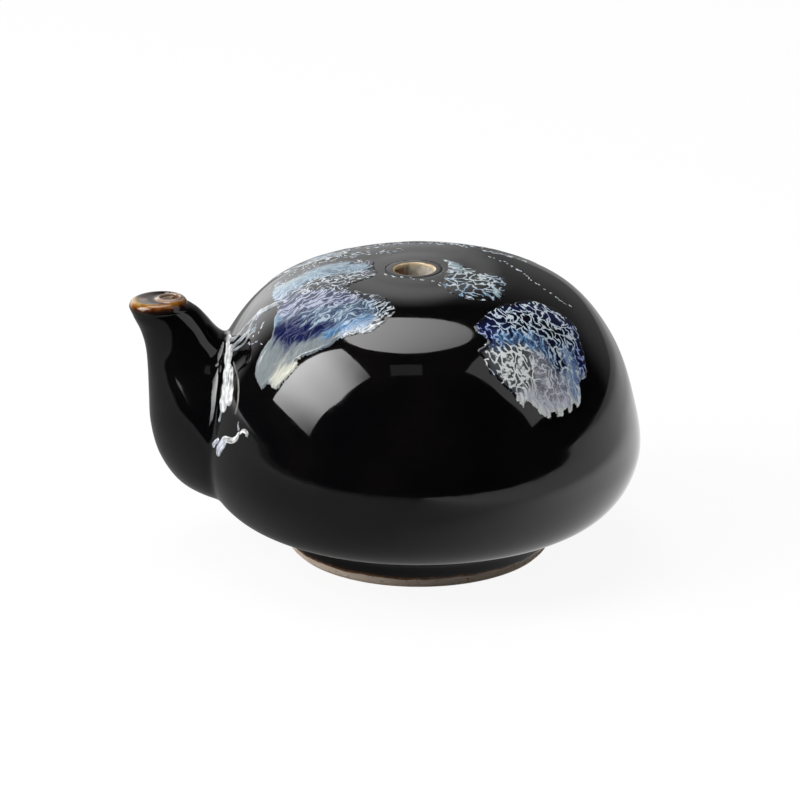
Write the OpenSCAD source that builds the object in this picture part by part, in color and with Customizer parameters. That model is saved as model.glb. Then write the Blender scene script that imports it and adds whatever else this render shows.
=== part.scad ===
// Water dropper for an ink stone: a squat closed pot with a filling hole in the flat crown of
// its dome and one wide horn spout. Two pressed clay halves meet at the belly, the foot ring
// and the spout are luted on with slip, and the glazes lie over the clay as their own coats.
// Millimetres. The origin is the middle of the footprint on the table, the spout points to -X.

/* [Body] */
// Largest diameter over the glaze
body_d = 75.8; // [73:0.2:79]
// Height of the crown over the glaze
crown_z = 49.1; // [47:0.1:52]
// Height of the widest line, where the two clay halves meet
belly_z = 17; // [16.5:0.1:17.5]
// Thickness of the clay wall
wall = 3; // [2.6:0.1:3.4]
// Thickness of the glaze coat
glaze = 0.5; // [0.4:0.1:0.6]

/* [Filling hole] */
// Diameter of the hole through the crown
hole_d = 6.8; // [6:0.2:8]
// How far the hole sits from the axis, towards the spout
hole_off = 0.8; // [0:0.1:1.5]
// Width of the pale glaze edge round the hole
hole_edge_w = 0.9; // [0.6:0.1:1.2]

/* [Foot] */
// Outer diameter of the foot ring over the glaze
foot_d = 46; // [44:0.2:48]
// Width of the ring's bearing face
foot_w = 3.4; // [2.8:0.2:4]
// Height of the bare clay band below the glaze line
bare_h = 1.1; // [0.8:0.1:1.5]

/* [Spout] */
// Diameter of the pouring hole
orifice_d = 3; // [2.4:0.2:3.4]
// Thickness of the spout's clay wall
spout_wall = 2.4; // [2:0.1:2.6]
// Radius of the rolled lip
lip_r = 1.4; // [1.2:0.1:1.7]
// Radius of the fillet between spout and body
root_r = 2.2; // [1.8:0.1:2.6]
// Diameter of the hole from the chamber into the spout
throat_d = 9; // [7:0.5:10]

/* [Kiln glaze] */
// Thickness of the blue and white patches over the black glaze
patch_h = 0.2; // [0.15:0.05:0.3]

/* [Hidden] */
$fn = 96;

// The body stands off the origin, because the spout takes one end of the footprint.
body_x = 5.6;
body_r = body_d / 2;
foot_r = foot_d / 2;
hole_r = hole_d / 2;

// Outline of the glazed body from the base inside the foot, round the belly, to the crown.
body_points = [
    [19.5, 3.6], [24.1, 5.1], [33.7, 9.2], [body_r, belly_z], [36.6, 26.8], [33.2, 36.2],
    [27.0, 44.0], [18.0, 48.2], [8.6, crown_z - 0.1], [0, crown_z]
];
body_steps = 5;
outer_count = (len(body_points) - 1) * body_steps;

// Spout stations from the tip down into the body: the point on the outer edge, the point on
// the edge towards the body, half the width, and how much fuller the side towards the body is.
stations = [
    [[-49.2, 42.6], [-39.3, 43.0], 4.7, 0],
    [[-48.6, 41.0], [-37.6, 42.2], 4.9, -0.14],
    [[-47.4, 38.4], [-36.0, 40.4], 5.2, 0.1],
    [[-46.6, 35.4], [-34.0, 38.0], 6.1, 0.16],
    [[-46.3, 31.6], [-31.0, 36.0], 7.5, 0.06],
    [[-46.2, 27.0], [-27.5, 35.0], 9.6, 0.07],
    [[-46.0, 21.8], [-24.5, 33.5], 11.9, 0.13],
    [[-44.6, 16.4], [-23.0, 31.0], 14.2, 0.2],
    [[-41.4, 12.0], [-22.0, 28.0], 16.4, 0.15],
    [[-36.6, 9.6], [-21.5, 25.0], 16.0, 0.05],
    [[-31.0, 8.4], [-21.5, 22.0], 14.2, -0.05]
];
root_t = len(stations) - 1;
// The channel's top and the lower edge of the amber lip lie at these places on the horn.
channel_t = 1.2;
lip_t = 0.5;
channel_k = -glaze - spout_wall;
// The slip joint's share of the way from the corner up to where the fillet starts.
slip_share = 0.75;
// Dish in the lip's face, and the pouring hole.
dish_middle = [-44.6, 0, 49.8];
dish_r = 6.2;
orifice_x = -42.3;
orifice_tilt = 22;
horn_sides = 28;
horn_steps = 12;
arc_steps = 5;
// How deep the cut for the spout's root runs from the ball's middle, out past the body and in.
plug_depths = [root_r - 14, root_r + 2];

// Outlines of the kiln patches: angle round the body's axis and distance from that axis.
right_outline = [[-65, 22], [-48, 19.8], [-26, 22], [-21, 28], [-29, 32], [-37, 34.3],
    [-44, 35], [-54, 34.8], [-60, 33.3], [-65, 30.4], [-69, 26.7]];
left_outline = [[-140, 33.8], [-145, 30.5], [-149, 26.2], [-163, 21], [-179, 15.1], [-178, 8.6],
    [-145, 8], [-103, 17], [-104, 22.6], [-115, 25.4], [-125, 28.8], [-132, 33.2]];
top_outline = [[30, 5.8], [4, 8.8], [-20, 15.8], [-39, 18.4], [-57, 15.8], [-62, 10],
    [-50, 6.4], [-10, 5.2]];
root_outline = [[-161, 29], [-158, 31], [-154, 33], [-152, 35], [-155, 36.4], [-158, 36.2],
    [-161, 34.2], [-166, 32.2], [-167, 30.4]];
back_outline = [[38, 22], [54, 17.5], [78, 16.5], [100, 20.5], [108, 27], [100, 32.5],
    [88, 34.7], [76, 33.2], [66, 34.8], [54, 33.6], [42, 30], [35, 26]];
back_small_outline = [[128, 17], [146, 14.5], [160, 19], [158, 26], [148, 30.5], [137, 32.4],
    [128, 28.5], [124, 22.5]];

function unit(v) = v / norm(v);
function mean(points) = [for (p = points) 1] * points / len(points);

// Smooth curve through a row of points: t runs from 0 to the row's last index.
function span(a, b, c, d, t) =
    let (turn = 2 * a - 5 * b + 4 * c - d, twist = 3 * b - a - 3 * c + d)
    b + ((c - a) * t + turn * t * t + twist * t * t * t) / 2;
function through(p, t) =
    let (last = len(p) - 1, i = min(floor(t), last - 1))
    span(p[max(i - 1, 0)], p[i], p[i + 1], p[min(i + 2, last)], t - i);
function round_through(p, t) =
    let (n = len(p), i = floor(t))
    span(p[(i + n - 1) % n], p[i % n], p[(i + 1) % n], p[(i + 2) % n], t - i);

// Body outline moved out by k along its normal.
function edge_point(t, k) =
    let (last = len(body_points) - 1, h = 0.02)
    let (way = unit(through(body_points, min(t + h, last)) - through(body_points, max(t - h, 0))))
    let (p = through(body_points, t) + k * [way.y, -way.x])
    [t == last ? 0 : p.x, p.y];
function body_edge(k) = [for (i = [0:outer_count]) edge_point(i / body_steps, k)];
function body_outline(k) = let (edge = body_edge(k)) concat([[0, edge[0].y]], edge);

// Height of the glazed dome at a distance from its axis, and a point on it at an angle.
dome_table = [for (p = body_edge(0)) if (p.y > belly_z) [p.x, p.y]];
function on_dome(polar, lift) =
    let (r = polar[1], p = [r * cos(polar[0]), r * sin(polar[0]), lookup(r, dome_table)])
    p + lift * unit(p - [0, 0, belly_z]);

// Distance of a point from the glazed body, near the root of the spout.
side_table = [for (p = body_edge(0)) [p.y, p.x]];
function side_slope(z) = lookup(z + 0.5, side_table) - lookup(z - 0.5, side_table);
function gap(p) =
    let (s = side_slope(p.z))
    (norm([p.x, p.y]) - lookup(p.z, side_table)) / sqrt(1 + s * s);
function body_way(p) = let (r = norm([p.x, p.y])) unit([p.x / r, p.y / r, -side_slope(p.z)]);

// Horn: an ellipse between the two edges of a station, made fuller to one side and grown by k.
function horn_frame(t) =
    let (o = through([for (s = stations) s[0]], t), i = through([for (s = stations) s[1]], t))
    [(o + i) / 2, (o - i) / 2, through([for (s = stations) [s[2], s[3]]], t)];
function horn_point(t, a, k) =
    let (f = horn_frame(t), half = norm(f[1]) + k, way = unit(f[1]))
    let (wide = (f[2].x + k) * (1 - f[2].y * cos(a)))
    [f[0].x + half * cos(a) * way.x, wide * sin(a), f[0].y + half * cos(a) * way.y];
function horn_way(t, a) =
    let (h = 0.02, along = horn_point(t + h, a, 0) - horn_point(max(t - h, 0), a, 0))
    unit(cross(horn_point(t, a + 1, 0) - horn_point(t, a - 1, 0), along));
function horn_ring(t, k) = [for (a = angles) horn_point(t, a, k)];
angles = [for (j = [0:horn_sides - 1]) j * 360 / horn_sides];

// Lip: the end of the horn rolled over in a quarter circle, around the tip's own direction.
tip_edge = unit(horn_frame(0)[1]);
tip_way = [tip_edge.y, 0, -tip_edge.x];
function lip_ring(a, k) =
    [for (p = horn_ring(0, k - lip_r * (1 - cos(a)))) p + (lip_r + k) * sin(a) * tip_way];

// Root: how far down the horn its skin, grown by k, meets the body's clay.
function meet_t(a, k, lo, hi, n) =
    let (mid = (lo + hi) / 2, outside = gap(horn_point(mid, a, k)) > -glaze)
    n == 0 ? mid : outside ? meet_t(a, k, mid, hi, n - 1) : meet_t(a, k, lo, mid, n - 1);
function root_ts(k) = [for (a = angles) meet_t(a, k, 0.5, root_t, 14)];
// Rows from one place on the horn to another, each a list with one place for each angle.
function horn_rows(k, from, to, rows) =
    [for (i = [0:rows]) [for (j = [0:horn_sides - 1])
        horn_point(from[j] + (to[j] - from[j]) * i / rows, angles[j], k)]];
function same(t) = [for (a = angles) t];

// Rolling ball in the corner between horn and body: its middle, and the ways to it from the
// horn and from the body.
function touch_t(a, lo, hi, n) =
    let (mid = (lo + hi) / 2, p = horn_point(mid, a, 0) + root_r * horn_way(mid, a))
    n == 0 ? mid : gap(p) > root_r ? touch_t(a, mid, hi, n - 1) : touch_t(a, lo, mid, n - 1);
touch_ts = [for (a = angles) touch_t(a, 0.5, root_t, 14)];
balls = [for (j = [0:horn_sides - 1])
    let (way = horn_way(touch_ts[j], angles[j]), c = horn_point(touch_ts[j], angles[j], 0) + root_r * way)
    [c, way, body_way(c)]];
function fillet_arc(ball, r) =
    [for (i = [0:arc_steps]) ball[0] - r * unit(ball[1] * (1 - i / arc_steps) + ball[2] * i / arc_steps)];

// Slip joint: the horn's clay ends a little short of the body's, by a share of the fillet.
skin_roots = root_ts(-glaze);
wall_roots = root_ts(channel_k);
slips = slip_share * (skin_roots - touch_ts);

// Closed skin over rows of points: a tube with its ends capped, or a loop.
function quads(a, b, n) =
    [for (j = [0:n - 1]) let (k = (j + 1) % n) each [[a + j, a + k, b + k], [a + j, b + k, b + j]]];
module tube(rows) {
    n = len(rows[0]);
    m = len(rows);
    sides = [for (i = [0:m - 2]) each quads(i * n + n, i * n, n)];
    caps = [for (j = [0:n - 1]) let (k = (j + 1) % n, e = m * n - n)
        each [[m * n, j, k], [m * n + 1, e + k, e + j]]];
    polyhedron(concat([for (row = rows) each row], [mean(rows[0]), mean(rows[m - 1])]), concat(sides, caps));
}
module loop(rows) {
    n = len(rows[0]);
    m = len(rows);
    polyhedron([for (row = rows) each row], [for (i = [0:m - 1]) each quads(i * n, (i + 1) % m * n, n)]);
}

module on_body() translate([body_x, 0, 0]) children();
module body_area(k) polygon(body_outline(k));
module ring_area(r1, r2, z1, z2) translate([r1, z1]) square([r2 - r1, z2 - z1]);
module wall_area() difference() {
    body_area(-glaze);
    body_area(-glaze - wall);
}
module filling_hole(r) on_body() translate([-hole_off, 0, crown_z - 8]) cylinder(r = r, h = 12);

// Dish in the lip's face, the pouring hole below it, and the hole through the body's wall.
module dish() translate(dish_middle) sphere(r = dish_r);
module orifice() translate([orifice_x, 0, 44]) rotate([0, -orifice_tilt, 0]) translate([0, 0, -5])
    cylinder(d = orifice_d, h = 10);
module throat() on_body() translate([-34, 0, 24]) rotate([0, -78, 0]) translate([0, 0, -7])
    cylinder(d = throat_d, h = 14);

module lower_shell() color("tan") on_body() rotate_extrude() difference() {
    wall_area();
    ring_area(0, body_d, belly_z, crown_z * 2);
}
module upper_shell() color("tan") difference() {
    on_body() rotate_extrude() intersection() {
        wall_area();
        ring_area(0, body_d, belly_z, crown_z * 2);
    }
    filling_hole(hole_r);
    throat();
}
module belly_seam() color("burlywood") on_body() rotate_extrude() intersection() {
    translate([body_r - glaze - wall - 0.2, belly_z]) circle(r = 1.4);
    body_area(-glaze - wall);
}
module foot_ring() color("wheat") on_body() rotate_extrude() difference() {
    translate([foot_r - glaze - foot_w, 0]) square([foot_w, 6]);
    translate([foot_r - glaze, 0]) rotate(45) square(0.9, center = true);
    translate([foot_r - glaze - foot_w, 0]) rotate(45) square(0.9, center = true);
    body_area(-glaze);
}
module spout() color("tan") on_body() difference() {
    tube(concat(
        [for (a = [80, 55, 28]) lip_ring(a, -glaze)],
        horn_rows(-glaze, same(0), skin_roots - slips, horn_steps),
        horn_rows(channel_k, wall_roots - slips, same(channel_t), horn_steps)
    ));
    orifice();
    dish();
}
module spout_seam() color("burlywood") on_body() loop([
    for (j = [0:horn_sides - 1]) [
        horn_point(wall_roots[j], angles[j], channel_k),
        horn_point(wall_roots[j] - slips[j], angles[j], channel_k),
        horn_point(skin_roots[j] - slips[j], angles[j], -glaze),
        horn_point(skin_roots[j], angles[j], -glaze)
    ]
]);
module body_glaze() color("black") difference() {
    on_body() rotate_extrude() difference() {
        body_area(0);
        body_area(-glaze);
        ring_area(0, foot_r, 0, 7);
    }
    filling_hole(hole_r + hole_edge_w);
    on_body() tube([for (d = plug_depths) [for (ball = balls) ball[0] - d * ball[2]]]);
}
module foot_glaze() color("saddlebrown") on_body() rotate_extrude() difference() {
    ring_area(foot_r - glaze, foot_r, bare_h, 7);
    body_area(-glaze);
}
module spout_glaze() color("black") on_body() loop(concat(
    horn_rows(-glaze, same(lip_t), touch_ts, horn_steps),
    horn_rows(0, touch_ts, same(lip_t), horn_steps)
));
module lip_glaze() color("peru") on_body() loop(concat(
    [horn_ring(lip_t, 0), horn_ring(lip_t / 2, 0)],
    [for (a = [0, 28, 55, 80]) lip_ring(a, 0)],
    [for (a = [80, 55, 28, 0]) lip_ring(a, -glaze)],
    [horn_ring(lip_t / 2, -glaze), horn_ring(lip_t, -glaze)]
));
module crease_glaze() color("darkslategray") on_body() loop([
    for (ball = balls) let (inner = fillet_arc(ball, root_r + glaze))
        concat(fillet_arc(ball, root_r), [for (i = [arc_steps:-1:0]) inner[i]])
]);
module hole_edge_glaze() color("blanchedalmond") difference() {
    intersection() {
        on_body() rotate_extrude() difference() {
            body_area(0);
            body_area(-glaze);
        }
        filling_hole(hole_r + hole_edge_w);
    }
    filling_hole(hole_r);
}

// Kiln patch: a thin pad on the dome, whose rings shrink towards the middle of its outline.
module patch(outline) {
    n = len(outline) * 3;
    flat = [for (p = outline) p[1] * [cos(p[0]), sin(p[0])]];
    edge = [for (i = [0:n - 1]) round_through(flat, i / 3)];
    middle = mean(edge);
    function ring(s, lift) = [for (p = edge)
        let (q = middle + s * (p - middle)) on_dome([atan2(q.y, q.x), norm(q)], lift)];
    on_body() tube(concat(
        [for (s = [0.12, 0.34, 0.56, 0.78, 0.94]) ring(s, patch_h)],
        [ring(1, patch_h / 3), ring(1, 0)],
        [for (s = [0.78, 0.56, 0.34, 0.12]) ring(s, 0)]
    ));
}
module patch_right() color("steelblue") patch(right_outline);
module patch_left() color("cornflowerblue") patch(left_outline);
module patch_top() color("lightsteelblue") patch(top_outline);
module patch_root() color("silver") patch(root_outline);
module patch_back() color("slateblue") patch(back_outline);
module patch_back_small() color("lightblue") patch(back_small_outline);

lower_shell();
upper_shell();
belly_seam();
foot_ring();
spout();
spout_seam();
body_glaze();
foot_glaze();
spout_glaze();
lip_glaze();
crease_glaze();
hole_edge_glaze();
patch_right();
patch_left();
patch_top();
patch_root();
patch_back();
patch_back_small();
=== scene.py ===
import bpy
import math
import random
import numpy as np
from mathutils import Matrix, Vector, noise
from mathutils.bvhtree import BVHTree


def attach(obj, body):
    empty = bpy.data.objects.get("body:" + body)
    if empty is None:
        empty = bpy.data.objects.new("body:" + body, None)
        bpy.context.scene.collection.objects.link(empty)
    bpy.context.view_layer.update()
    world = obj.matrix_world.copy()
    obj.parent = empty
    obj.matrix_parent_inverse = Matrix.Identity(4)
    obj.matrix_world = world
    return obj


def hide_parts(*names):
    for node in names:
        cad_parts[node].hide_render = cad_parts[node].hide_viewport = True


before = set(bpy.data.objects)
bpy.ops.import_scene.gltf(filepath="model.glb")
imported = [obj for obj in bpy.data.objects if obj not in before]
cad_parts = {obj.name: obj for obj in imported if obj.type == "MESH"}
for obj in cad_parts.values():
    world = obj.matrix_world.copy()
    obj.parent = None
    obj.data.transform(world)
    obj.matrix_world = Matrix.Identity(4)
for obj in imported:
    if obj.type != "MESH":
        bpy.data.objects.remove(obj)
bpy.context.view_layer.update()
mm = 0.001

# The pot stands off the origin, because the spout takes one end of the footprint.
pot = {
    "axisX": 5.6,
    "bellyZ": 17.0,
    "outline": [(19.5, 3.6), (24.1, 5.1), (33.7, 9.2), (37.9, 17.0), (36.6, 26.8),
                (33.2, 36.2), (27.0, 44.0), (18.0, 48.2), (8.6, 49.0), (0.0, 49.1)],
    "holeX": -0.8,
    "holeR": 3.4,
    "footR": 23.0,
    "samples": 1500,
}

# Spout sections from the tip down into the pot: outer edge, inner edge, half width, and how much
# fuller the section is on the side of the pot.
horn = {
    "stations": [
        ((-49.2, 42.6), (-39.3, 43.0), 4.7, 0.0), ((-48.6, 41.0), (-37.6, 42.2), 4.9, -0.14),
        ((-47.4, 38.4), (-36.0, 40.4), 5.2, 0.1), ((-46.6, 35.4), (-34.0, 38.0), 6.1, 0.16),
        ((-46.3, 31.6), (-31.0, 36.0), 7.5, 0.06), ((-46.2, 27.0), (-27.5, 35.0), 9.6, 0.07),
        ((-46.0, 21.8), (-24.5, 33.5), 11.9, 0.13), ((-44.6, 16.4), (-23.0, 31.0), 14.2, 0.2),
        ((-41.4, 12.0), (-22.0, 28.0), 16.4, 0.15), ((-36.6, 9.6), (-21.5, 25.0), 16.0, 0.05),
        ((-31.0, 8.4), (-21.5, 22.0), 14.2, -0.05)],
    "sides": 160,
    "steps": 60,
    "lipT": 0.45,
}


def through(points, t):
    # smooth curve through a row of points, t runs from 0 to the last index
    last = len(points) - 1
    i = min(int(t), last - 1)
    a, b, c, d = (np.array(points[min(max(k, 0), last)], float) for k in (i - 1, i, i + 1, i + 2))
    s = t - i
    return 0.5 * (2 * b + (c - a) * s + (2 * a - 5 * b + 4 * c - d) * s * s
                  + (3 * b - a - 3 * c + d) * s ** 3)


def curve(points, count):
    # that many points along the smooth curve
    return np.array([through(points, t) for t in np.linspace(0, len(points) - 1, count)])


def distances(line):
    # how far along a row of points each of them lies
    return np.concatenate(([0], np.cumsum(np.linalg.norm(np.diff(line, axis=0), axis=1))))


def deselectAll():
    if bpy.context.view_layer.objects.active and bpy.context.object.mode != "OBJECT":
        bpy.ops.object.mode_set(mode="OBJECT")
    bpy.ops.object.select_all(action="DESELECT")


def pick(ob):
    deselectAll()
    ob.select_set(True)
    bpy.context.view_layer.objects.active = ob


def edit(ob, select="DESELECT"):
    # into edit mode on points, with nothing or everything selected
    pick(ob)
    bpy.ops.object.mode_set(mode="EDIT")
    bpy.ops.mesh.select_mode(type="VERT")
    bpy.ops.mesh.select_all(action=select)


def leaveEdit():
    bpy.ops.object.mode_set(mode="OBJECT")


def markPoints(ob, marked):
    # into edit mode with just the marked points selected
    edit(ob)
    leaveEdit()
    ob.data.vertices.foreach_set("select", np.asarray(marked, bool))
    bpy.ops.object.mode_set(mode="EDIT")


def applyAll(ob):
    pick(ob)
    for m in list(ob.modifiers):
        bpy.ops.object.modifier_apply(modifier=m.name)


def smooth(ob):
    pick(ob)
    bpy.ops.object.shade_smooth()


def getPoints(ob):
    co = np.empty(len(ob.data.vertices) * 3)
    ob.data.vertices.foreach_get("co", co)
    return co.reshape(-1, 3)


def setPoints(ob, co):
    ob.data.vertices.foreach_set("co", np.asarray(co, np.float32).ravel())
    ob.data.update()


def getWays(ob):
    out = np.empty(len(ob.data.vertices) * 3)
    ob.data.vertex_normals.foreach_get("vector", out)
    return out.reshape(-1, 3)


def faceOutward(ob):
    edit(ob, "SELECT")
    bpy.ops.mesh.normals_make_consistent(inside=False)
    leaveEdit()


def turnOver(ob):
    edit(ob, "SELECT")
    bpy.ops.mesh.flip_normals()
    leaveEdit()


def loft(name, rings, sides, close=True):
    # circles stood at each section and bridged; a ring is its middle, tilt about Y, half length, half width
    circles = []
    for ring in rings:
        deselectAll()
        bpy.ops.mesh.primitive_circle_add(vertices=sides, radius=1, location=Vector(ring[0]) * mm,
                                          rotation=(0, ring[1], 0))
        circles.append(bpy.context.object)
        if len(ring) > 4:
            # fuller towards the pot
            co = getPoints(circles[-1])
            co[:, 1] *= 1 + ring[4] * co[:, 0]
            setPoints(circles[-1], co)
        circles[-1].scale = (ring[2] * mm, ring[3] * mm, 1)
    deselectAll()
    for c in circles:
        c.select_set(True)
    bpy.context.view_layer.objects.active = circles[0]
    bpy.ops.object.transform_apply(location=True, rotation=True, scale=True)
    bpy.ops.object.join()
    ob = bpy.context.object
    ob.name = ob.data.name = name
    n = sides
    faces = [(i * n + j, i * n + (j + 1) % n, (i + 1) * n + (j + 1) % n, (i + 1) * n + j)
             for i in range(len(rings) - 1) for j in range(n)]
    if close:
        faces += [tuple(range(n - 1, -1, -1)), tuple(range((len(rings) - 1) * n, len(rings) * n))]
    points = [v.co.copy() for v in ob.data.vertices]
    ob.data.clear_geometry()
    ob.data.from_pydata(points, [], faces)
    faceOutward(ob)
    return ob


def smoothStep(x, lo, hi):
    t = np.clip((x - lo) / (hi - lo), 0, 1)
    return t * t * (3 - 2 * t)


def removePoints(ob, gone):
    # takes away every face that touches a marked point
    markPoints(ob, gone)
    bpy.ops.mesh.delete(type="VERT")
    leaveEdit()


def rimPoints(ob):
    # points on open edges
    edit(ob)
    bpy.ops.mesh.select_non_manifold()
    leaveEdit()
    marked = np.empty(len(ob.data.vertices), bool)
    ob.data.vertices.foreach_get("select", marked)
    return marked


def paint(ob, name, values):
    # one colour or vector for each point
    kind, field = ("FLOAT_COLOR", "color") if values.shape[1] == 4 else ("FLOAT_VECTOR", "vector")
    attribute = ob.data.attributes.new(name, kind, "POINT")
    attribute.data.foreach_set(field, np.asarray(values, np.float32).ravel())


def paintCoat(ob, colours):
    paint(ob, "coat", np.column_stack([colours, np.ones(len(colours))]))


def ripple(points, *waves, seed=(0, 0, 0)):
    # smooth noise at each point, the sum of waves of a size and a share
    return np.array([sum(share * noise.noise(Vector(p * size + seed)) for size, share in waves)
                     for p in np.asarray(points)])


def mixed(a, b, share):
    # from one colour to another, by a share for each point
    share = share[:, None]
    return np.asarray(a) * (1 - share) + np.asarray(b) * share


def layered(count, coats):
    # fired colours over black, each by its share at each point
    out = np.tile(fired["black"], (count, 1))
    for tone, share in coats:
        out = mixed(out, fired[tone], share)
    return out


def bands(where, plan):
    # colours that follow each other, each from where it starts down to where it is full
    return [(tone, smoothStep(-where, -start, -end)) for tone, start, end in plan]


# Fired colours, as the light they give back.
fired = {
    "black": (0.0025, 0.0024, 0.003), "white": (0.6, 0.63, 0.65), "pale": (0.37, 0.44, 0.49),
    "cream": (0.6, 0.6, 0.51), "sky": (0.17, 0.27, 0.37), "aqua": (0.25, 0.35, 0.38),
    "slate": (0.045, 0.07, 0.1), "lavender": (0.13, 0.16, 0.29), "dusk": (0.03, 0.04, 0.085),
    "violet": (0.006, 0.01, 0.066), "night": (0.008, 0.008, 0.025), "teal": (0.2, 0.23, 0.24),
    "royal": (0.05, 0.1, 0.36), "indigo": (0.006, 0.008, 0.04), "aquablue": (0.07, 0.19, 0.37),
    "bone": (0.56, 0.59, 0.57), "iron": (0.025, 0.03, 0.035), "mauve": (0.215, 0.215, 0.28),
    "lilac": (0.42, 0.43, 0.52), "frost": (0.11, 0.13, 0.27), "azure": (0.1, 0.19, 0.29),
    "amber": (0.17, 0.055, 0.007), "honey": (0.25, 0.105, 0.012), "gilt": (0.38, 0.24, 0.08),
    "rust": (0.07, 0.02, 0.006), "umber": (0.014, 0.006, 0.004), "shell": (0.32, 0.23, 0.18),
    "tan": (0.5, 0.35, 0.19), "ivory": (0.6, 0.48, 0.31), "brown": (0.16, 0.07, 0.02),
    # the bore's bare clay, and the brown of the painted shade in it
    "bore": (0.536, 0.494, 0.418), "boreShade": (0.165, 0.0625, 0.0135),
}

# The outline once more as a radius for each direction from the middle of the belly.
profile = curve(pot["outline"], pot["samples"])
profileWay = np.arctan2(profile[:, 1] - pot["bellyZ"], profile[:, 0])
profileR = np.hypot(profile[:, 0], profile[:, 1] - pot["bellyZ"])
bellyMiddle = np.array([pot["axisX"], 0, pot["bellyZ"]]) * mm
# and as a way down from the crown, measured along the surface
downhill = profile[::-1]
downhillS = distances(downhill)


def potRadius(co):
    # how far the pot's surface lies from the middle of the belly, towards each point
    d = co - bellyMiddle
    way = np.arctan2(d[:, 2], np.hypot(d[:, 0], d[:, 1]))
    return np.interp(way, profileWay, profileR) * mm


def toOutline(co, chosen):
    # the chosen points go exactly onto the pot's outline
    d = co[chosen] - bellyMiddle
    co[chosen] = bellyMiddle + d * (potRadius(co[chosen]) / np.linalg.norm(d, axis=1))[:, None]


def onPot(angle, s, lift):
    # point on the pot at an angle (radians) and a way down from the crown (mm)
    r, z = np.interp(s, downhillS, downhill[:, 0]), np.interp(s, downhillS, downhill[:, 1])
    base = np.stack([pot["axisX"] + r * np.cos(angle), r * np.sin(angle), z], axis=-1) * mm
    out = base - bellyMiddle
    return base + out / np.linalg.norm(out, axis=-1, keepdims=True) * np.asarray(lift)[..., None] * mm


print("camera")
view = {"target": (0.00236, 0, 0.02552), "distance": 0.7, "elevation": 20, "lens": 184, "near": 0.05}
elevation = math.radians(view["elevation"])
back = Vector((0, -math.cos(elevation), math.sin(elevation)))
cameraData = bpy.data.cameras.new("camera")
cameraData.lens = view["lens"]
cameraData.clip_start = view["near"]
camera = bpy.data.objects.new("camera", cameraData)
bpy.context.scene.collection.objects.link(camera)
camera.location = Vector(view["target"]) + back * view["distance"]
camera.rotation_euler = (math.radians(90 - view["elevation"]), 0, 0)
bpy.context.scene.camera = camera
bpy.context.scene.view_settings.view_transform = "Standard"


print("studio")
studio = {
    # each lamp: shape, where it stands, which way its height runs, width and height, strength,
    # what is left of it at its ends, and how it falls off sideways
    "left": {"shape": "RECTANGLE", "at": (-0.765, -0.29, 0.61), "up": (0.62, 0, 0.785),
             "size": (0.57, 0.86), "power": 14.8, "ends": 0.45, "slope": -0.6},
    "right": {"shape": "RECTANGLE", "at": (0.68, -0.22, 0.59), "up": (-0.62, 0, 0.785),
              "size": (0.50, 0.80), "power": 1.2, "ends": 1.0, "slope": 0.0},
    "window": {"shape": "RECTANGLE", "at": (-0.10, -0.48, 0.90), "up": (0, 0.8, 0.5),
               "size": (0.26, 0.16), "power": 0.04, "ends": 1.0, "slope": 0.0},
    "top": {"shape": "DISK", "at": (-0.06, 0.15, 0.93), "up": (0, 1, 0),
            "size": (0.70, 0.70), "power": 5.5, "ends": 0.9, "slope": -0.9},
}
lampAim = Vector((0, 0, 0.03))
lampFade = (0.1, 0.5)  # share of its height, from its middle to where a lamp starts to dim and to its end


def nodes(material):
    material.use_nodes = True
    tree = material.node_tree
    tree.nodes.clear()
    return tree


def feed(tree, socket, value):
    # a number or colour goes on the socket, anything else is wired to it
    if isinstance(value, (int, float)):
        socket.default_value = value
    elif isinstance(value, tuple):
        socket.default_value = value if len(value) == len(socket.default_value) else (*value, 1)
    else:
        tree.links.new(value, socket)


def calc(tree, how, a, b=0.0, clamp=False):
    node = tree.nodes.new("ShaderNodeMath")
    node.operation = how
    node.use_clamp = clamp
    feed(tree, node.inputs[0], a)
    feed(tree, node.inputs[1], b)
    return node.outputs[0]


def times(tree, a, b):
    return calc(tree, "MULTIPLY", a, b)


def plus(tree, a, b):
    return calc(tree, "ADD", a, b)


def minus(tree, a, b):
    return calc(tree, "SUBTRACT", a, b)


def fromHalf(tree, value):
    return calc(tree, "ABSOLUTE", minus(tree, value, 0.5))


def step(tree, value, lo, hi, start=0.0, end=1.0):
    node = tree.nodes.new("ShaderNodeMapRange")
    node.interpolation_type = "SMOOTHSTEP"
    for socket, item in zip(node.inputs, (value, lo, hi, start, end)):
        feed(tree, socket, item)
    return node.outputs[0]


def blend(tree, share, a, b):
    node = tree.nodes.new("ShaderNodeMix")
    node.data_type = "RGBA"
    feed(tree, node.inputs[0], share)
    feed(tree, node.inputs[6], a)
    feed(tree, node.inputs[7], b)
    return node.outputs[2]


def moved(tree, how, a, b):
    node = tree.nodes.new("ShaderNodeVectorMath")
    node.operation = how
    feed(tree, node.inputs[0], a)
    feed(tree, node.inputs[3] if how == "SCALE" else node.inputs[1], b)
    return node.outputs[0]


def clouds(tree, where, size, detail=2.0, part="Fac"):
    node = tree.nodes.new("ShaderNodeTexNoise")
    node.inputs["Scale"].default_value = size
    node.inputs["Detail"].default_value = detail
    feed(tree, node.inputs["Vector"], where)
    return node.outputs[part]


def ownPlace(tree):
    return tree.nodes.new("ShaderNodeTexCoord").outputs["Object"]


def axes(tree, vector):
    node = tree.nodes.new("ShaderNodeSeparateXYZ")
    tree.links.new(vector, node.inputs[0])
    return node.outputs


def layer(tree, name, part):
    node = tree.nodes.new("ShaderNodeAttribute")
    node.attribute_name = name
    return node.outputs[part]


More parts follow.
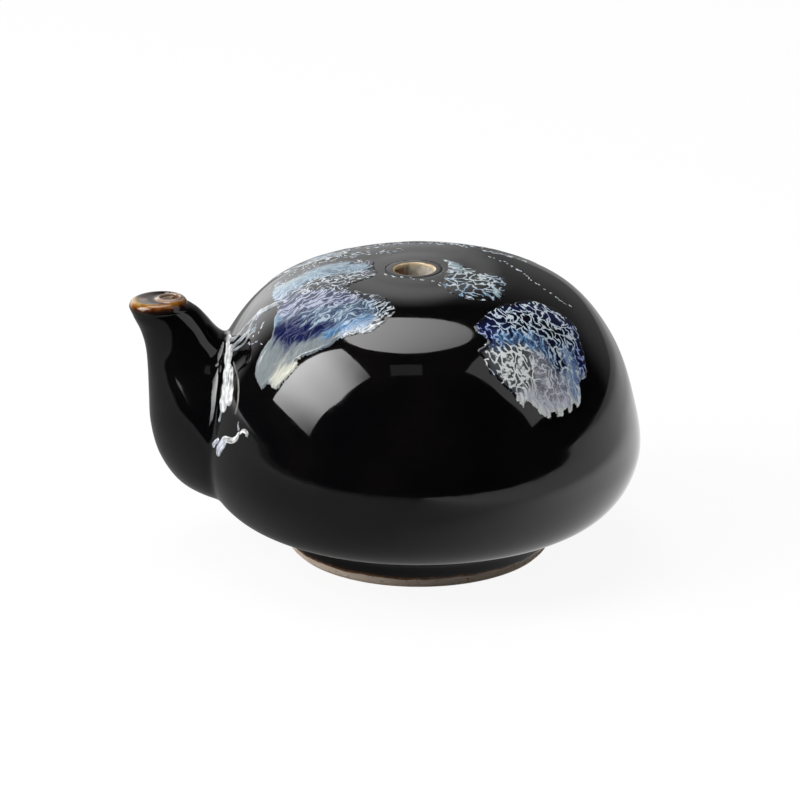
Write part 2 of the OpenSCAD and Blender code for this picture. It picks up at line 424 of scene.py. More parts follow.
def surface(tree, colour, roughness, ior, relief, strength, depth):
    # glazed or bare surface with a bump
    gloss = tree.nodes.new("ShaderNodeBsdfPrincipled")
    feed(tree, gloss.inputs["Base Color"], colour)
    feed(tree, gloss.inputs["Roughness"], roughness)
    gloss.inputs["IOR"].default_value = ior
    bump = tree.nodes.new("ShaderNodeBump")
    bump.inputs["Strength"].default_value = strength
    bump.inputs["Distance"].default_value = depth
    feed(tree, bump.inputs["Height"], relief)
    tree.links.new(bump.outputs[0], gloss.inputs["Normal"])
    out = tree.nodes.new("ShaderNodeOutputMaterial")
    tree.links.new(gloss.outputs[0], out.inputs["Surface"])


def softBox(name, box):
    data = bpy.data.lights.new(name, "AREA")
    data.shape = box["shape"]
    data.size, data.size_y = box["size"]
    data.energy = box["power"]
    # a lamp's cloth is brightest at its middle height, and dimmer towards one side
    data.use_nodes = True
    tree = data.node_tree
    place = axes(tree, tree.nodes.new("ShaderNodeNewGeometry").outputs["Parametric"])
    ends = step(tree, fromHalf(tree, place["Y"]), *lampFade, 1.0, box["ends"])
    glow = plus(tree, ends, times(tree, minus(tree, place["X"], 0.5), box["slope"]))
    feed(tree, tree.nodes["Emission"].inputs["Strength"], glow)
    ob = bpy.data.objects.new(name, data)
    bpy.context.scene.collection.objects.link(ob)
    out = (Vector(box["at"]) - lampAim).normalized()
    up = Vector(box["up"])
    up = (up - up.dot(out) * out).normalized()
    across = up.cross(out)
    ob.matrix_world = Matrix((across, up, out)).transposed().to_4x4()
    ob.location = box["at"]
    ob.visible_camera = False


for lamp, box in studio.items():
    softBox("light_" + lamp, box)


room = {
    # how far back a direction points where the pale wall starts and where it is at its brightest
    "wall": (0.45, 0.78),
    # how high a direction points, and the wall's brightness there
    "heights": [(0.0, 0.8), (0.2, 1.0), (0.45, 0.75), (0.75, 0.03)],
    # the wall brightens to the left in two steps, and the ground glows: from, to, brightness at each
    "middle": (0.08, -0.02, 0.20, 0.78),
    "left": (-0.08, -0.38, 0.0, 1.3),
    "ground": (0.015, -0.06, 0.0, 0.4),
    "least": 0.012,
}


def buildWorld():
    # camera rays see white; everything else sees a dark room with a pale wall behind the pot
    world = bpy.data.worlds.new("studio")
    bpy.context.scene.world = world
    tree = nodes(world)
    new, link = tree.nodes.new, tree.links.new
    way = axes(tree, new("ShaderNodeTexCoord").outputs["Generated"])
    behind = step(tree, way["Y"], *room["wall"])
    high = new("ShaderNodeValToRGB")
    points = high.color_ramp.elements
    for i, (at, grey) in enumerate(room["heights"]):
        point = points[i] if i < len(points) else points.new(at)
        point.position, point.color = at, (grey, grey, grey, 1)
    link(way["Z"], high.inputs["Fac"])
    side = plus(tree, step(tree, way["X"], *room["middle"]), step(tree, way["X"], *room["left"]))
    wall = times(tree, times(tree, behind, high.outputs["Color"]), side)
    below = step(tree, way["Z"], *room["ground"])
    light = calc(tree, "MAXIMUM", calc(tree, "MAXIMUM", wall, below), room["least"])
    dark = new("ShaderNodeBackground")
    link(light, dark.inputs["Color"])
    seen = new("ShaderNodeBackground")
    seen.inputs["Color"].default_value = (1, 1, 1, 1)
    mix = new("ShaderNodeMixShader")
    link(new("ShaderNodeLightPath").outputs["Is Camera Ray"], mix.inputs["Fac"])
    link(dark.outputs[0], mix.inputs[1])
    link(seen.outputs[0], mix.inputs[2])
    link(mix.outputs[0], new("ShaderNodeOutputWorld").inputs["Surface"])


ground = {
    "sides": 96,
    "radius": 4,
    "tone": (0.86, 0.86, 0.86, 1),
    # share of its own white towards the camera and towards the glaze
    "toCamera": 0.92,
    "toGloss": 0.85,
    # light that the glaze sees on the floor: a pool, brighter to the right and dimmer to the back
    # (from, to, brightness at each)
    "paintedLightPool": (0.09, 0.01, 0),
    "poolFade": (0.12, 0.03, 0.13, 1.1),
    "right": (-0.02, 0.16, 0.0, 0.7),
    "back": (0.10, 0.40, 1.0, 0.45),
    # and more of it before the bright end of the wall
    "farLeft": (0.05, -0.25),
    "farBack": (0.15, 0.6, 0.0, 1.4),
}


def floorMaterial():
    # matt and pale, with a share of its own white towards the camera and in reflections
    material = bpy.data.materials.new("floor")
    tree = nodes(material)
    new, link = tree.nodes.new, tree.links.new
    matt = new("ShaderNodeBsdfDiffuse")
    matt.inputs["Color"].default_value = ground["tone"]
    place = ownPlace(tree)
    at = axes(tree, place)
    away = new("ShaderNodeVectorMath")
    away.operation = "DISTANCE"
    away.inputs[1].default_value = ground["paintedLightPool"]
    link(place, away.inputs[0])
    paintedLightPool = plus(tree, step(tree, away.outputs["Value"], *ground["poolFade"]),
                step(tree, at["X"], *ground["right"]))
    paintedLightPool = times(tree, paintedLightPool, step(tree, at["Y"], *ground["back"]))
    paintedLightPool = plus(tree, paintedLightPool, times(tree, step(tree, at["X"], *ground["farLeft"]),
                                  step(tree, at["Y"], *ground["farBack"])))
    path = new("ShaderNodeLightPath")
    base = matt.outputs[0]
    for ray, share, strength in (("Is Camera Ray", ground["toCamera"], 1.0),
                                 ("Is Glossy Ray", ground["toGloss"], paintedLightPool)):
        glow = new("ShaderNodeEmission")
        feed(tree, glow.inputs["Strength"], strength)
        mix = new("ShaderNodeMixShader")
        link(times(tree, path.outputs[ray], share), mix.inputs["Fac"])
        link(base, mix.inputs[1])
        link(glow.outputs[0], mix.inputs[2])
        base = mix.outputs[0]
    link(base, new("ShaderNodeOutputMaterial").inputs["Surface"])
    return material


buildWorld()
deselectAll()
bpy.ops.mesh.primitive_circle_add(vertices=ground["sides"], radius=ground["radius"], fill_type="NGON",
                                  location=(0, 0, 0))
floor = bpy.context.object
floor.name = "floor"
floor.data.materials.append(floorMaterial())


print("glazed skin")
skin = {
    "rings": 90,
    "sides": 128,
    "crown": 8.88,      # place on the outline where the rings stop, just short of the crown's middle
    "voxel": 0.46,
    "hug": 0.3,         # points this near the outline are the pot's own
    "creaseWidth": 1.3,
    "creaseCore": 0.6,  # share of the width that melts fully
    "creaseTurns": 22,
    "evenTurns": 5,
    "coat": 0.45,
    "holeGap": 0.75,    # from the filling hole to the skin's edge
    "spare": 0.12,
    "rimReach": 2.5,
    "crownZ": 45,       # the filling hole is above this height, the foot below the next
    "footZ": 8,
    "tipZ": 36,         # the spout's end is above this height and to the left of this
    "tipX": -28,
}


def bodyRings():
    ways = np.linspace(0, skin["crown"], skin["rings"])
    return [((pot["axisX"], 0, z), 0, r, r) for r, z in (through(pot["outline"], t) for t in ways)]


def hornRing(t, grow=0.0):
    # middle, tilt, half length, half width and fullness of the spout's section at t
    outer = through([s[0] for s in horn["stations"]], t)
    inner = through([s[1] for s in horn["stations"]], t)
    width, full = through([s[2:] for s in horn["stations"]], t)
    middle = (outer + inner) / 2
    half = (inner - outer) / 2
    tilt = -math.atan2(half[1], half[0])
    return ((middle[0] + pot["axisX"], 0, middle[1]), tilt, math.hypot(*half) + grow, width + grow, full)


def fuseForms():
    # pot and spout become one closed skin; also gives the spout's own form back, to measure from
    body = loft("pot_glaze", bodyRings(), skin["sides"])
    ways = np.linspace(0, len(horn["stations"]) - 1, horn["steps"])
    spout = loft("spout_form", [hornRing(t) for t in ways], horn["sides"])
    spoutTree = BVHTree.FromObject(spout, bpy.context.evaluated_depsgraph_get())
    deselectAll()
    spout.select_set(True)
    body.select_set(True)
    bpy.context.view_layer.objects.active = body
    bpy.ops.object.join()
    ob = bpy.context.object
    fuse = ob.modifiers.new("fuse", "REMESH")
    fuse.mode = "VOXEL"
    fuse.voxel_size = skin["voxel"] * mm
    applyAll(ob)
    return ob, spoutTree


def makeSkin():
    ob, spoutTree = fuseForms()
    co = getPoints(ob)
    off = np.linalg.norm(co - bellyMiddle, axis=1) - potRadius(co)
    toSpout = np.array([spoutTree.find_nearest(Vector(p))[3] or 0 for p in co]) / mm
    onBody = np.abs(off) < skin["hug"] * mm
    toOutline(co, onBody)
    setPoints(ob, co)
    # the corner round the spout's root melts together
    crease = ob.vertex_groups.new(name="crease")
    core = skin["creaseCore"] * skin["creaseWidth"]
    near = 1 - smoothStep(np.abs(off) / mm, core, skin["creaseWidth"])
    near *= 1 - smoothStep(toSpout, core, skin["creaseWidth"])
    for i in np.nonzero(near > 0)[0]:
        crease.add([int(i)], float(near[i]), "REPLACE")
    melt = ob.modifiers.new("melt", "SMOOTH")
    melt.vertex_group = "crease"
    melt.factor = 0.5
    melt.iterations = skin["creaseTurns"]
    even = ob.modifiers.new("even", "SMOOTH")
    even.factor = 0.5
    even.iterations = skin["evenTurns"]
    applyAll(ob)
    co = getPoints(ob)
    toOutline(co, (near == 0) & onBody)
    setPoints(ob, co)
    return ob


def openings(co):
    # the filling hole and the ground inside the foot: middle, radius, and the points at its height
    x, z = pot["axisX"], co[:, 2] / mm
    gap = pot["holeR"] + skin["holeGap"]
    return [(np.array([x + pot["holeX"], 0]) * mm, gap * mm, z > skin["crownZ"]),
            (np.array([x, 0]) * mm, pot["footR"] * mm, z < skin["footZ"])]


def openSkin(ob):
    # the filling hole, the ground inside the foot and the spout's end are open
    co = getPoints(ob)
    gone = np.zeros(len(co), bool)
    for middle, radius, level in openings(co):
        gone |= (np.hypot(*(co[:, :2] - middle).T) < radius + skin["spare"] * mm) & level
    removePoints(ob, gone)
    tip = hornRing(horn["lipT"])
    along = Vector((math.sin(tip[1]), 0, math.cos(tip[1])))
    co = getPoints(ob)
    markPoints(ob, (co[:, 2] > skin["tipZ"] * mm) & (co[:, 0] < skin["tipX"] * mm))
    bpy.ops.mesh.bisect(plane_co=Vector(tip[0]) * mm, plane_no=along, clear_outer=True, use_fill=False)
    leaveEdit()
    # open edges go onto true circles
    rim = rimPoints(ob)
    co = getPoints(ob)
    for middle, radius, level in openings(co):
        d = co[:, :2] - middle
        r = np.hypot(*d.T)
        mine = rim & (np.abs(r - radius) < skin["rimReach"] * mm) & level
        co[mine, :2] = middle + d[mine] * (radius / r[mine])[:, None]
        toOutline(co, mine)
    setPoints(ob, co)


def turnIn(ob):
    # the open edges turn in by the coat's thickness
    rim = np.nonzero(rimPoints(ob))[0]
    ways = getWays(ob)
    count = len(ways)
    edit(ob)
    bpy.ops.mesh.select_non_manifold()
    bpy.ops.mesh.extrude_edges_move()
    leaveEdit()
    # the new points come last and start out where the old ones are
    co = getPoints(ob)
    for i in range(count, len(co)):
        twin = rim[np.argmin(np.abs(co[rim] - co[i]).sum(axis=1))]
        co[i] -= ways[twin] * skin["coat"] * mm
    setPoints(ob, co)


potGlaze = makeSkin()
openSkin(potGlaze)
turnIn(potGlaze)
print("skin faces", len(potGlaze.data.polygons))
smooth(potGlaze)
skinTree = BVHTree.FromObject(potGlaze, bpy.context.evaluated_depsgraph_get())


mostly = (0.3, 0.7)  # most of a noise's values lie between these
black = {
    "deep": (0.0012, 0.0012, 0.0016),
    "warm": (0.003, 0.0025, 0.0024),
    "warmth": (0.35, 0.75),
    # fineness of the clouds in its colour, in its gloss and in its surface
    "depth": 90,
    "sheen": 400,
    "swim": 260,
    "roughness": (0.3, 0.8, 0.035, 0.075),
    "ior": 1.5,
    "bump": (0.06, 0.0002),
}


def blackGlaze(name):
    # deep iron black, with the slightest swim in its surface
    material = bpy.data.materials.new(name)
    tree = nodes(material)
    place = ownPlace(tree)
    warmth = step(tree, clouds(tree, place, black["depth"], 3), *black["warmth"])
    colour = blend(tree, warmth, black["deep"], black["warm"])
    roughness = step(tree, clouds(tree, place, black["sheen"], 2), *black["roughness"])
    surface(tree, colour, roughness, black["ior"], clouds(tree, place, black["swim"], 1), *black["bump"])
    return material


potGlaze.data.materials.clear()
potGlaze.data.materials.append(blackGlaze("black_glaze"))
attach(potGlaze, "root")
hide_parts("body_glaze", "spout_glaze", "crease_glaze")


clay = {
    # pale and dark tone of each kind, and the pieces made of it
    "tones": {"clay": ((0.66, 0.55, 0.45), (0.46, 0.36, 0.27)),
              "slip": ((0.66, 0.57, 0.47), (0.48, 0.38, 0.28))},
    "pieces": {"clay": ("lower_shell", "upper_shell", "foot_ring", "spout"),
               "slip": ("belly_seam", "spout_seam")},
    "broad": 70,
    "grain": 1500,
    "shade": (0.3, 0.75, 0, 0.45),
    "specks": (0.62, 0.72, 0, 0.75),
    "speck": (0.07, 0.045, 0.03),
    "pits": 900,
    "pitShare": 0.6,
    "roughness": (0.2, 0.8, 0.62, 0.85),
    "ior": 1.45,
    "bump": (0.5, 0.0002),
}


def bareClay(name, pale, dark):
    # fired stoneware body: fine grog specks, a dry surface with small pits
    material = bpy.data.materials.new(name)
    tree = nodes(material)
    place = ownPlace(tree)
    broad = clouds(tree, place, clay["broad"], 4)
    grain = clouds(tree, place, clay["grain"], 3)
    tone = blend(tree, step(tree, broad, *clay["shade"]), pale, dark)
    tone = blend(tree, step(tree, grain, *clay["specks"]), tone, clay["speck"])
    pits = times(tree, clouds(tree, place, clay["pits"], 4), clay["pitShare"])
    pits = plus(tree, pits, times(tree, grain, 1 - clay["pitShare"]))
    surface(tree, tone, step(tree, broad, *clay["roughness"]), clay["ior"], pits, *clay["bump"])
    return material


for kind, tones in clay["tones"].items():
    look = bareClay(kind, *tones)
    for nodeName in clay["pieces"][kind]:
        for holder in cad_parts[nodeName].material_slots:
            holder.material = look


print("lip")
lip = {
    "sides": 128,
    # where the coat runs up the spout: place on the horn and how far outside it
    "outside": [(0.80, -0.12), (0.62, 0.02), (0.45, 0.04), (0.30, 0.05), (0.15, 0.05), (0, 0.05)],
    # how it rolls over the rim
    "roll": 1.15,
    "angles": (15, 30, 45, 60, 75, 88),
    # share of the way from the rolled rim to the pouring hole, and height over the rim: moat, ring, hole
    "inside": [(0.10, 0.0), (0.22, -0.07), (0.36, -0.18), (0.50, -0.22), (0.60, -0.18), (0.68, -0.04),
               (0.75, 0.12), (0.82, 0.22), (0.90, 0.20), (0.96, 0.05), (1.00, -0.25), (1.00, -0.9),
               (1.00, -1.8)],
    "centred": 0.72,    # from this share on the rings are round and centred on the hole
    "holeX": pot["axisX"] - 42.3,
    "holeR": 1.52,
    # waves of size and share in the colours' borders
    "waves": ((0.9, 1), (2.3, 0.5)),
    "wander": 0.3,
    # the left side counts as higher, and where the left, the far side and the front start and are full
    "leftHigher": 0.35,
    "left": (-0.2, 0.9),
    "far": (0.0, 0.45),
    "front": (0.0, 0.5),
    # washes by height over the rim: colour, from, to, share to the right and to the left
    "washes": [("umber", -0.5, 0.4, 1, 1), ("rust", 0.0, 0.7, 1, 1), ("amber", 0.4, 0.95, 1, 1),
               ("honey", 0.7, 1.2, 0.5, 1), ("gilt", 1.0, 1.45, 0, 0.8)],
    # the lip's face starts at this height and this far in from the rim
    "faceZ": 0.7,
    "rimEdge": 0.02,
    "farDark": 0.95,
    "edge": (0.0, 0.10),
    "edgeDark": 0.9,
    # painted sheen, a pale pinkish highlight inside the rim: how far to the left, in from the rim,
    # round from the front, and off the hole
    "poolLeft": (0.4, 2.0),
    "poolIn": (0.02, 0.14),
    "poolRound": (-0.75, -0.05),
    "poolOff": (3.2, 4.0),
    "paintedLightPool": 0.4,
    "moatR": 3.15,
    "moat": (0.15, 0.65),
    # the pale ring round the pouring hole is a painted highlight on the raised ring: its radius and
    # strength
    "ringR": 2.75,
    "ring": 0.95,
    "mouthR": 1.62,
    "goldR": (2.1, 2.7),
    "gold": 0.6,
}


def makeLip():
    # gives back the coat and its ring at the top of the roll
    tip = hornRing(0)
    tilt = tip[1]
    up = np.array([math.sin(tilt), 0, math.cos(tilt)])
    rings = [hornRing(t, grow) for t, grow in lip["outside"]]
    for angle in np.radians(lip["angles"]):
        middle = np.array(tip[0]) + up * lip["roll"] * math.sin(angle)
        inset = lip["roll"] * (1 - math.cos(angle))
        rings.append((tuple(middle), tilt, tip[2] - inset, tip[3] - inset, tip[4]))
    top = rings[-1]
    holeMiddle = np.array([lip["holeX"], 0, top[0][2] + (lip["holeX"] - top[0][0]) * math.tan(-tilt)])
    for share, high in lip["inside"]:
        q = smoothStep(share, 0.0, lip["centred"])
        middle = (1 - q) * np.array(top[0]) + q * holeMiddle + up * high
        length, width = ((1 - share) * half + share * lip["holeR"] for half in top[2:4])
        rings.append((tuple(middle), tilt, length, width, top[4] * (1 - q)))
    ob = loft("lip_coat", rings, lip["sides"], close=False)
    rounding = ob.modifiers.new("round", "SUBSURF")
    rounding.levels = rounding.render_levels = 1
    applyAll(ob)
    smooth(ob)
    return ob, top


def paintLip(ob, top):
    # amber where the coat runs thin over the rim, dark in the moat; the pale sheen inside the rim and the
    # pale ring round the pouring hole are painted highlights
    co = getPoints(ob) / mm
    (tipX, _, tipZ), tilt = hornRing(0)[:2]
    x = co[:, 0] - tipX
    high = co[:, 2] - (tipZ + x * math.tan(-tilt))
    fromHole = np.hypot(co[:, 0] - lip["holeX"], co[:, 1])
    inward = 1 - np.hypot((co[:, 0] - top[0][0]) / top[2], co[:, 1] / top[3])
    angle = np.arctan2(co[:, 1], x)  # 0 to the pot, -90 degrees to the front
    wander = ripple(co, *lip["waves"])
    left = smoothStep(-np.cos(angle), *lip["left"])
    far = smoothStep(np.sin(angle), *lip["far"])
    front = smoothStep(-np.sin(angle), *lip["front"])
    drop = high + lip["wander"] * wander + lip["leftHigher"] * left
    coats = [(tone, smoothStep(drop, start, end) * (right + (most - right) * left))
             for tone, start, end, right, most in lip["washes"]]
    face = (high > lip["faceZ"]) & (inward > lip["rimEdge"])
    # painted sheen: a pale highlight inside the rim, to the left and away from the front
    paintedLightPool = face * smoothStep(0.5 * wander - x, *lip["poolLeft"]) * smoothStep(inward, *lip["poolIn"])
    paintedLightPool = paintedLightPool * smoothStep(np.sin(angle), *lip["poolRound"]) * (1 - 0.85 * far)
    moat = face * smoothStep(1 - np.abs(fromHole - lip["moatR"] + 0.15 * wander), *lip["moat"])
    # painted highlight: a pale ring round the pouring hole
    ring = smoothStep(lip["ringR"] - fromHole + 0.1 * wander, 0.0, 0.35)
    ring = ring * smoothStep(fromHole, lip["mouthR"] - 0.2, lip["mouthR"])
    paintCoat(ob, layered(len(co), coats + [
        ("umber", far * lip["farDark"]),
        ("umber", face * smoothStep(inward, *lip["edge"]) * lip["edgeDark"]),
        ("shell", paintedLightPool * smoothStep(fromHole, *lip["poolOff"]) * lip["paintedLightPool"]),
        ("umber", np.clip(moat * 1.1, 0, 1)),
        ("shell", ring * lip["ring"]),
        ("honey", ring * front * smoothStep(fromHole, *lip["goldR"]) * lip["gold"]),
        ("brown", smoothStep(lip["mouthR"] - fromHole, 0.0, 0.12))]))


coatSwim = 500
coatBump = (0.15, 0.0002)


def coatMaterial(name, roughness=0.08, mottle=0.35, grain=900, ior=1.5):
    # painted colours broken up by fine mottling
    material = bpy.data.materials.new(name)
    tree = nodes(material)
    place = ownPlace(tree)
    shade = step(tree, clouds(tree, place, grain, 3), *mostly, 1 - mottle, 1 + mottle)
    tone = moved(tree, "SCALE", layer(tree, "coat", "Color"), shade)
    surface(tree, tone, roughness, ior, clouds(tree, place, coatSwim, 2), *coatBump)
    return material


lipCoat, lipTop = makeLip()
paintLip(lipCoat, lipTop)
lipCoat.data.materials.append(coatMaterial("amber_glaze", 0.08, 0.22, 700))
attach(lipCoat, "root")
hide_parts("lip_glaze")


print("hole edge")
holeEdge = {
    "sides": 96,
    # distance from the hole's axis, height over the dome
    "profile": [(5.0, -0.08), (4.8, 0.0), (4.5, 0.03), (4.2, 0.04), (3.9, 0.04), (3.70, 0.04), (3.60, 0.02),
                (3.50, -0.05), (3.42, -0.16), (3.37, -0.36), (3.36, -0.8), (3.36, -1.6), (3.36, -3.0)],
    "waves": ((800, 1), (2500, 0.4)),
    # bands from the black inwards: colour, and the distances where it starts and where it is full
    "bands": (("umber", 3.86, 3.72), ("brown", 3.76, 3.66), ("tan", 3.69, 3.59), ("ivory", 3.63, 3.53)),
    "wander": 0.05,
    # depth where the bore's own colour starts and is full, and how far left it turns brown with painted
    # shade
    "bore": (0.25, 0.8),
    "boreShade": (0.2, 0.85),
    "boreShadeWander": 0.4,
}


def makeHoleEdge():
    x = pot["axisX"] + pot["holeX"]
    rings = [((x, 0, pot["outline"][-2][1]), 0, r, r) for r, high in holeEdge["profile"]]
    ob = loft("hole_edge_coat", rings, holeEdge["sides"], close=False)
    flat = getPoints(ob)
    wander = ripple(flat, *holeEdge["waves"])
    # each ring drops onto the dome under it
    co = flat / mm
    dome = np.interp(np.hypot(co[:, 0] - pot["axisX"], co[:, 1]), profile[::-1, 0], profile[::-1, 1])
    highs = np.repeat([high for r, high in holeEdge["profile"]], holeEdge["sides"])
    setPoints(ob, np.column_stack([flat[:, :2], (dome + highs) * mm]))
    r, angle = np.hypot(co[:, 0] - x, co[:, 1]), np.arctan2(co[:, 1], co[:, 0] - x)
    out = layered(len(co), bands(r + holeEdge["wander"] * wander, holeEdge["bands"]))
    # painted shade: the bare bore turns brown towards the left
    boreShadeShare = smoothStep(holeEdge["boreShadeWander"] * wander - np.cos(angle), *holeEdge["boreShade"])
    bore = mixed(fired["bore"], fired["boreShade"], boreShadeShare)
    paintCoat(ob, mixed(out, bore, smoothStep(-highs, *holeEdge["bore"])))
    faceOutward(ob)
    smooth(ob)
    return ob


holeCoat = makeHoleEdge()
holeCoat.data.materials.append(coatMaterial("cream_glaze", 0.07, 0.2))
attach(holeCoat, "root")
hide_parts("hole_edge_glaze")


print("foot coat")
footEdge = {
    "sides": 256,
    # distance from the pot's axis and height; the last points run under the skin
    "profile": [(22.50, 1.70), (22.58, 1.64), (22.74, 1.64), (22.92, 1.76), (23.02, 1.96), (23.06, 2.3),
                (23.06, 2.8), (23.08, 3.3), (23.2, 3.9), (23.5, 4.4), (24.0, 4.85), (24.6, 5.15)],
    # the glaze stops in a slightly wandering line above the bare foot
    "waves": ((5, 1), (14, 0.5)),
    "wander": 0.22,
    "low": (1.9, 3.2),
    "grain": (40, 40, 1),
    "grained": 0.15,
    "bands": (("umber", 2.9, 2.1), ("brown", 2.15, 1.85), ("amber", 1.82, 1.68)),
}


def makeFoot():
    rings = [((pot["axisX"], 0, z), 0, r, r) for r, z in footEdge["profile"]]
    ob = loft("foot_coat", rings, footEdge["sides"], close=False)
    co = getPoints(ob)
    high = co[:, 2] / mm
    angle = np.arctan2(co[:, 1], co[:, 0] - pot["axisX"] * mm)
    around = np.column_stack([np.cos(angle), np.sin(angle), 0 * angle])
    low = 1 - smoothStep(high, *footEdge["low"])
    co[:, 2] += footEdge["wander"] * mm * ripple(around, *footEdge["waves"]) * low
    setPoints(ob, co)
    around[:, 2] = high
    fine = ripple(around, (footEdge["grain"], 1))
    paintCoat(ob, layered(len(co), bands(high - footEdge["grained"] * fine, footEdge["bands"])))
    faceOutward(ob)
    smooth(ob)
    return ob


footCoat = makeFoot()
footCoat.data.materials.append(coatMaterial("foot_glaze", 0.12, 0.3, ior=1.36))
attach(footCoat, "root")
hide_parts("foot_glaze")


print("kiln patches")
# Outlines and strokes are angles round the pot (degrees) and ways down from the crown (mm).
# A stroke: colour, colour of the gaps, how open, how white, how streaming, how heavy its threads,
# half width, path.
patches = {}
patches["patch_left"] = {
    "grain": -144, "light": 0.84, "cell": (1.0, 1.9), "seed": 3, "drip": (24, 34, 0.2),
    "outline": [
        (-171, 25.8), (-187, 24.3), (-183, 21.1), (-199, 18.9), (-202, 14.2), (-210, 11.5), (-209, 8.7),
        (-173, 7.2), (-155, 8.2), (-149, 11.4), (-145, 14.3), (-127, 14.7), (-118, 14.6), (-109, 15.9),
        (-102, 18.8), (-104, 21.1), (-106, 23.0), (-109, 24.9), (-115, 25.9), (-121, 27.7), (-122, 28.9),
        (-128, 31.0), (-132, 32.8), (-131, 33.8), (-134, 37.5), (-136, 38.5), (-139, 38.1), (-141, 39.1),
        (-145, 38.1), (-147, 36.8), (-148, 34.5), (-148, 31.5), (-149, 29.8), (-155, 27.5), (-161, 25.8)],
    "strokes": [
        ("sky", "slate", 0.25, 0.5, 1, 0.3, 1.2, [(-172, 25.0), (-173, 20.5), (-184, 14.4), (-186, 10.4)]),
        ("aqua", "slate", 0.1, 0.4, 1, 0.3, 0.7, [(-176, 23.5), (-178, 18.5), (-187, 13.6)]),
        ("violet", "black", 1, 0.85, 0.4, 0.5, 0.9,
         [(-185, 22.4), (-198, 17.2), (-208, 11.0), (-200, 7.6), (-170, 7.4)]),
        ("pale", "black", 1, 0.85, 0.3, 0.5, 0.9, [(-165, 19.5), (-163, 15.9), (-160, 12.6), (-160, 8.5)]),
        ("slate", "black", 1, 0.85, 0.5, 0.5, 1.0,
         [(-160, 20.2), (-150, 16.2), (-128, 15.2), (-110, 16.2)]),
        ("frost", "dusk", 0.8, 0.55, 1, 0.4, 1.7, [(-157, 25.1), (-153, 21.9), (-143, 18.6), (-132, 17.6)]),
        ("violet", "night", 0.22, 0.08, 1, 0.1, 1.8,
         [(-148, 29.6), (-141, 28.6), (-134, 27.2), (-129, 25.2)]),
        ("azure", "dusk", 0.6, 0.55, 1, 0.4, 1.7, [(-133, 23.9), (-124, 20.7), (-116, 19.1)]),
        ("aquablue", "slate", 0.2, 0.4, 1, 0.2, 1.0, [(-126, 27.4), (-120, 24.6), (-113, 22.6)]),
        ("pale", "black", 1, 1, 0.6, 0.8, 1.3, [(-112, 17.2), (-105, 18.9), (-106, 21)]),
        ("teal", "teal", 0, 0.2, 1, 0.1, 1.8, [(-146, 32.2), (-144, 35.6), (-140, 37.9)]),
        ("sky", "slate", 0.1, 0.3, 1, 0.1, 0.9, [(-153, 27.4), (-149, 30.6)]),
        ("teal", "teal", 0.05, 0.3, 1, 0.1, 0.9, [(-134, 31.0), (-127, 29.1), (-123, 27.6)]),
        ("cream", "cream", 0, 1, 1, 0.3, 0.8, [(-138, 37.5), (-135, 35.6), (-132, 33.9)]),
        ("white", "slate", 0.7, 1, 0.5, 0.9, 0.6, [(-119, 27.2), (-114, 25.8), (-110, 24.3), (-108, 22.6)])]
}
patches["patch_right"] = {
    "grain": -57, "light": 1.08, "cell": (1.25, 2.0), "seed": 8, "drip": (36, 40, 0.9),
    "outline": [
        (-56, 20.8), (-47, 20.1), (-40, 20.6), (-32, 21.1), (-28, 22.5), (-25, 24.5), (-24, 27.1),
        (-23, 29.6), (-26, 32.0), (-28, 33.6), (-30, 35.3), (-32, 37.5), (-34, 38.3), (-37, 38.5),
        (-40, 40.9), (-41, 41.4), (-43, 41.8), (-45, 42.0), (-48, 42.1), (-50, 41.9), (-52, 41.9),
        (-54, 41.2), (-56, 40.1), (-58, 39.2), (-60, 39.0), (-61, 38.1), (-64, 36.1), (-66, 34.2),
        (-68, 33.0), (-68, 32.1), (-69, 30.4), (-70, 28.8), (-66, 27.7), (-65, 26.6), (-68, 24.8),
        (-67, 23.6), (-62, 22.1)],
    "strokes": [
        ("sky", "indigo", 1, 0.85, 0, 0.5, 2,
         [(-55, 21.4), (-41, 21.3), (-32, 24.2), (-29, 27.9), (-29, 30.8)]),
        ("sky", "black", 1, 0.8, 0, 0.5, 1.5, [(-50, 24.2), (-40, 25.0), (-35, 29)]),
        ("royal", "indigo", 0.8, 0.5, 0, 0.5, 1.2, [(-65, 22.9), (-64, 25.0), (-62, 27.5)]),
        ("aquablue", "indigo", 0.7, 0.5, 0.4, 0.5, 1.5,
         [(-64, 27.6), (-57, 27.2), (-51, 28.2), (-46, 30.6), (-41, 33.6)]),
        ("royal", "indigo", 1, 0.6, 0.2, 0.3, 1, [(-26, 29.0), (-29, 32.7), (-32, 35.5)]),
        ("bone", "iron", 0.85, 0.9, 0.3, 1, 1.8,
         [(-67, 29.3), (-63, 31.5), (-56, 30.0), (-55, 32.8), (-62, 35.2)]),
        ("pale", "black", 1, 0.7, 0.1, 0.5, 1.3, [(-42, 31.7), (-41, 34.1)]),
        ("sky", "royal", 0.5, 0.8, 0.7, 0.7, 1.0, [(-38, 33.4), (-39, 36.3), (-40, 40.1)]),
        ("mauve", "iron", 0.45, 0.75, 0.2, 0.2, 1.9, [(-50, 33.2), (-50, 36.3), (-49, 38.4)]),
        ("lilac", "mauve", 0.2, 0.5, 0.5, 0.2, 1.0, [(-57, 38.9), (-51, 40.3), (-44, 40.6)]),
        ("bone", "mauve", 0.12, 1, 0.5, 0.5, 0.9,
         [(-61, 38.6), (-56, 40.4), (-51, 42.0), (-46, 42.1), (-41, 41.4)]),
        ("violet", "indigo", 1, 0.75, 0.3, 0.5, 0.8, [(-67, 33.6), (-62, 37.4)])]
}
